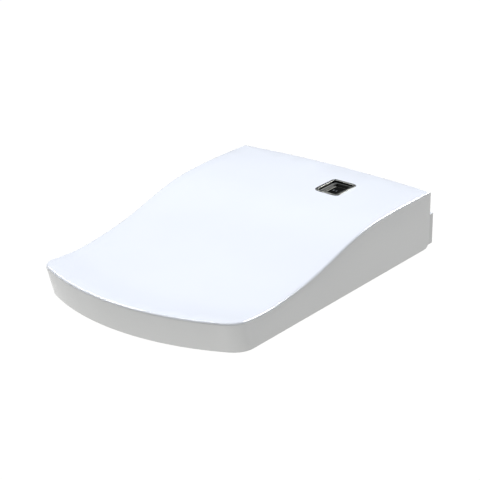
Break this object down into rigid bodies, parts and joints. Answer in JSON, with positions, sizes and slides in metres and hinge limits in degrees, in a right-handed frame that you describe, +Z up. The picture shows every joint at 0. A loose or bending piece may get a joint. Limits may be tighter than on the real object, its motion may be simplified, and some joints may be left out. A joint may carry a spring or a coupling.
{
  "type": "electric bidet seat",
  "caption": "Electric bidet seat: full-cover lid with a dished front over a heated seat and a wash unit that slides onto a bolted mounting plate.",
  "frame": {"origin": "midway between the two mounting slots, on the plane of the bowl's rim, which is the mounting plate's underside", "axes": "+X to the right-hand side seen from the front, +Y to the rear, towards the wall, +Z up"},
  "size_m": [0.376, 0.5774, 0.1066],
  "materials": {
    "lid_white": "high gloss",
    "seat_white": "gloss",
    "case_white": "gloss",
    "base_grey": "fine matte",
    "bright_trim": "polished",
    "key_black": "gloss",
    "dark_window": "gloss",
    "soft_rubber": "matte",
    "black_rubber": "matte",
    "steel": "turned",
    "zinc_screw": "zinc plated",
    "damper_plastic": "moulded",
    "bush_plastic": "moulded",
    "board_green": "solder resist",
    "foil": "foil",
    "light_lens": "translucent",
    "nozzle_white": "gloss",
    "gear_white": "moulded",
    "motor_case": "plated",
    "duct_plastic": "heat resistant",
    "blower_grey": "moulded",
    "carbon_grey": "moulded",
    "brass_thread": "machined",
    "valve_blue": "moulded",
    "tank_amber": "heat resistant",
    "hose_clear": "silicone"
  },
  "bodies": {
    "plate": {"mounting_plate": "base_grey"},
    "case": {"upper_case": "case_white", "lower_case": "base_grey", "rear_cover": "case_white", "case_feet": "black_rubber", "case_screws": "zinc_screw", "hinge_bushes": "bush_plastic", "lid_damper": "damper_plastic", "seat_damper": "damper_plastic", "key_frame": "bright_trim", "key_dome": "soft_rubber", "control_board": "board_green", "power_board": "board_green", "sensor_window": "dark_window", "night_light": "light_lens", "nozzle_frame": "duct_plastic", "nozzle_motors": "motor_case", "diverter_valve": "valve_blue", "water_inlet": "brass_thread", "solenoid_valve": "valve_blue", "pump": "motor_case", "heater_tank": "tank_amber", "heater_element": "steel", "cold_hose": "hose_clear", "warm_hose": "hose_clear", "blower_housing": "blower_grey", "blower_motor": "motor_case", "air_duct": "duct_plastic", "air_heater": "foil", "deodoriser_housing": "damper_plastic", "cord_gland": "black_rubber"},
    "lid": {"lid_shell": "lid_white", "lid_window_trim": "bright_trim", "lid_bumpers": "soft_rubber", "lid_damper_shaft": "steel"},
    "seat": {"seat_top": "seat_white", "seat_base": "seat_white", "seat_heater": "foil", "seat_bumpers": "soft_rubber", "seat_damper_shaft": "steel"},
    "key": {"control_key": "key_black"},
    "rear_wand": {"rear_nozzle": "nozzle_white", "rear_nozzle_tip": "steel"},
    "front_wand": {"front_nozzle": "nozzle_white", "front_nozzle_tip": "steel"},
    "rear_pinion": {"rear_nozzle_pinion": "gear_white"},
    "front_pinion": {"front_nozzle_pinion": "gear_white"},
    "outlet_flap": {"air_flap": "case_white"},
    "blower_rotor": {"blower_wheel": "blower_grey"},
    "cartridge": {"deodoriser_cartridge": "carbon_grey"},
    "fan": {"deodoriser_fan": "blower_grey"},
    "inlet_filter": {"filter_plug": "case_white"},
    "side_button": {"release_button": "base_grey"}
  },
  "joints": [
    {"name": "case_slide", "type": "slide", "parent": "plate", "child": "case", "axis": [0, -1, 0], "range_m": [0, 0.125]},
    {"name": "seat_hinge", "type": "hinge", "parent": "case", "child": "seat", "pos_m": [0, 0.066, 0.079], "axis": [-1, 0, 0], "range_deg": [0, 95]},
    {"name": "lid_hinge", "type": "hinge", "parent": "seat", "child": "lid", "pos_m": [0, 0.066, 0.079], "axis": [1, 0, 0], "range_deg": [-95, 0]},
    {"name": "key_press", "type": "slide", "parent": "case", "child": "key", "axis": [0, 0, -1], "range_m": [0, 0.0012], "stiffness_N_per_m": 1200, "springref_m": -0.0006},
    {"name": "rear_nozzle_slide", "type": "slide", "parent": "case", "child": "rear_wand", "axis": [0, -0.9848, -0.1736], "range_m": [0, 0.085]},
    {"name": "front_nozzle_slide", "type": "slide", "parent": "case", "child": "front_wand", "axis": [0, -0.9848, -0.1736], "range_m": [0, 0.085]},
    {"name": "rear_pinion_spin", "type": "hinge", "parent": "case", "child": "rear_pinion", "pos_m": [-0.011, -0.0511, 0.04408], "axis": [-1, 0, 0], "range_deg": [0, 812]},
    {"name": "front_pinion_spin", "type": "hinge", "parent": "case", "child": "front_pinion", "pos_m": [0.011, -0.0511, 0.04408], "axis": [-1, 0, 0], "range_deg": [0, 812]},
    {"name": "air_flap_hinge", "type": "hinge", "parent": "case", "child": "outlet_flap", "pos_m": [-0.048, -0.09, 0.0308], "axis": [-1, 0, 0], "range_deg": [0, 60]},
    {"name": "blower_spin", "type": "hinge", "parent": "case", "child": "blower_rotor", "pos_m": [-0.116, -0.048, 0.028], "axis": [0, 0, 1], "continuous": true},
    {"name": "deodoriser_slide", "type": "slide", "parent": "case", "child": "cartridge", "axis": [0, 1, 0], "range_m": [0, 0.05]},
    {"name": "deodoriser_fan_spin", "type": "hinge", "parent": "case", "child": "fan", "pos_m": [-0.071, 0.02, 0.033], "axis": [0, 1, 0], "continuous": true},
    {"name": "filter_plug_turn", "type": "hinge", "parent": "case", "child": "inlet_filter", "pos_m": [-0.106, 0.096, 0.029], "axis": [0, 1, 0], "range_deg": [0, 90]},
    {"name": "release_button_press", "type": "slide", "parent": "case", "child": "side_button", "axis": [-1, 0, 0], "range_m": [0, 0.003], "stiffness_N_per_m": 1000, "springref_m": -0.001}
  ],
  "couplings": [
    {"joint": "rear_pinion_spin", "follows": "rear_nozzle_slide", "rad_per_m": 166.67},
    {"joint": "front_pinion_spin", "follows": "front_nozzle_slide", "rad_per_m": 166.67}
  ]
}
